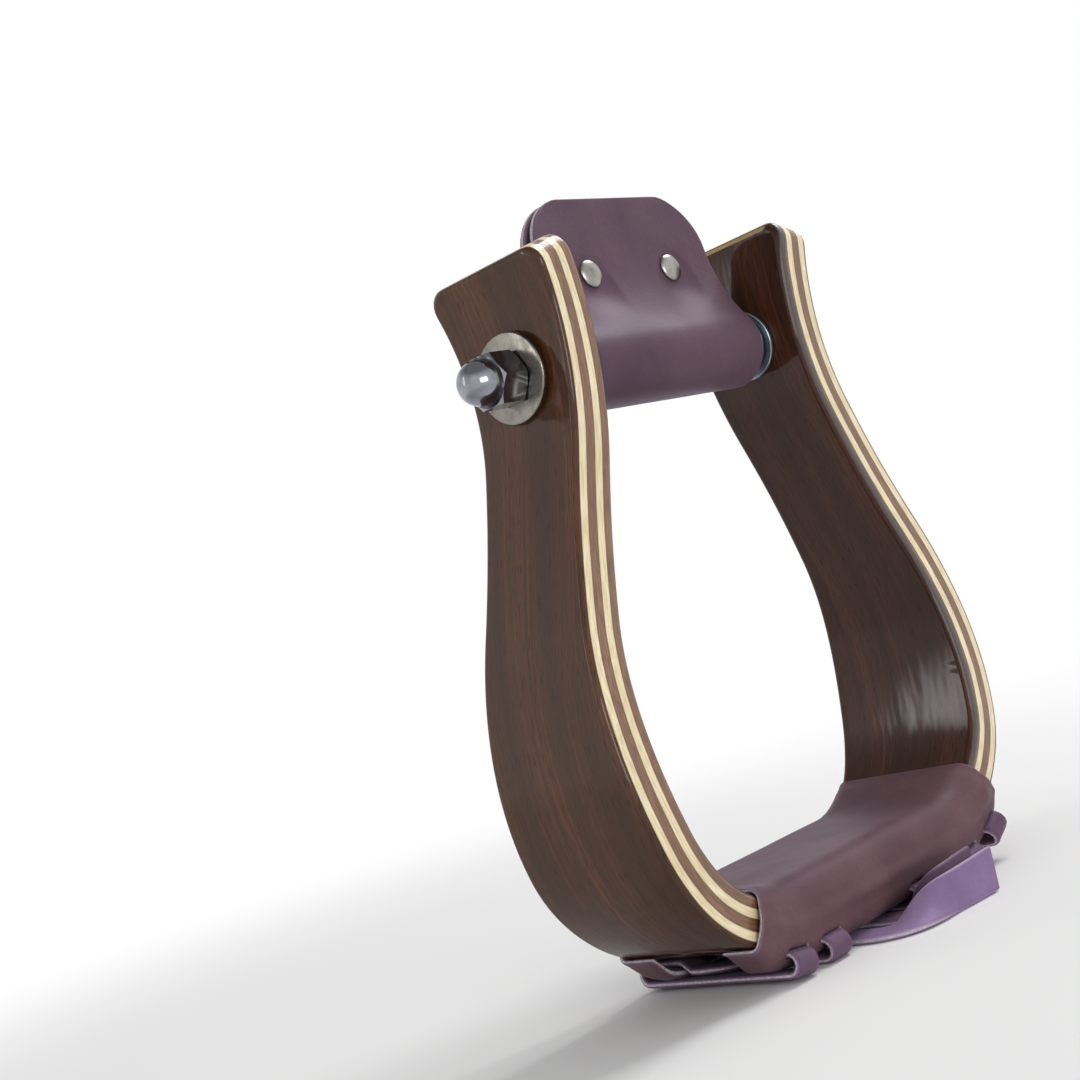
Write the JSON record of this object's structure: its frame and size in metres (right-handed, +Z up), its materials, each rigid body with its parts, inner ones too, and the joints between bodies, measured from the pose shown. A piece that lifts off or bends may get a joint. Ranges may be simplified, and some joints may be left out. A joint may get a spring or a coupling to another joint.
{
  "type": "bentwood riding stirrup",
  "caption": "Bell-shaped riding stirrup of laminated bentwood with a laced leather tread cover and a swinging leather hanger tab on a cross bolt.",
  "frame": {"origin": "on the floor under the middle of the tread, on the underside of the middle lace bar", "axes": "+X from the left leg to the right leg along the bolt, +Y to the back, +Z up from the tread to the hanger"},
  "size_m": [0.1748, 0.0762, 0.2263],
  "materials": {
    "face_veneer": "dark mahogany stain under gloss varnish",
    "pale_ply": "pale ply edge grain under varnish",
    "brown_ply": "brown ply edge grain under varnish",
    "maroon_leather": "satin grain leather",
    "lace_leather": "satin lace thong",
    "bright_plate": "polished nickel plate",
    "zinc_steel": "zinc plate"
  },
  "bodies": {
    "frame": {"outer_veneer": "face_veneer", "outer_pale_ply": "pale_ply", "middle_brown_ply": "brown_ply", "inner_pale_ply": "pale_ply", "inner_brown_ply": "brown_ply", "inner_veneer": "face_veneer", "tread_cover": "maroon_leather", "tread_lace": "lace_leather", "lace_tail_front": "lace_leather", "lace_tail_rear": "lace_leather", "bolt": "zinc_steel", "left_acorn_nut": "bright_plate", "right_acorn_nut": "bright_plate", "left_outer_washer": "bright_plate", "right_outer_washer": "bright_plate", "left_inner_washer": "bright_plate", "right_inner_washer": "bright_plate"},
    "hanger": {"roller_sleeve": "zinc_steel", "leather_hanger": "maroon_leather", "left_rivet": "bright_plate", "right_rivet": "bright_plate", "left_rivet_cap": "bright_plate", "right_rivet_cap": "bright_plate"}
  },
  "joints": [
    {"name": "hanger_swing", "type": "hinge", "parent": "frame", "child": "hanger", "pos_m": [0, 0, 0.17513], "axis": [1, 0, 0], "continuous": true}
  ]
}
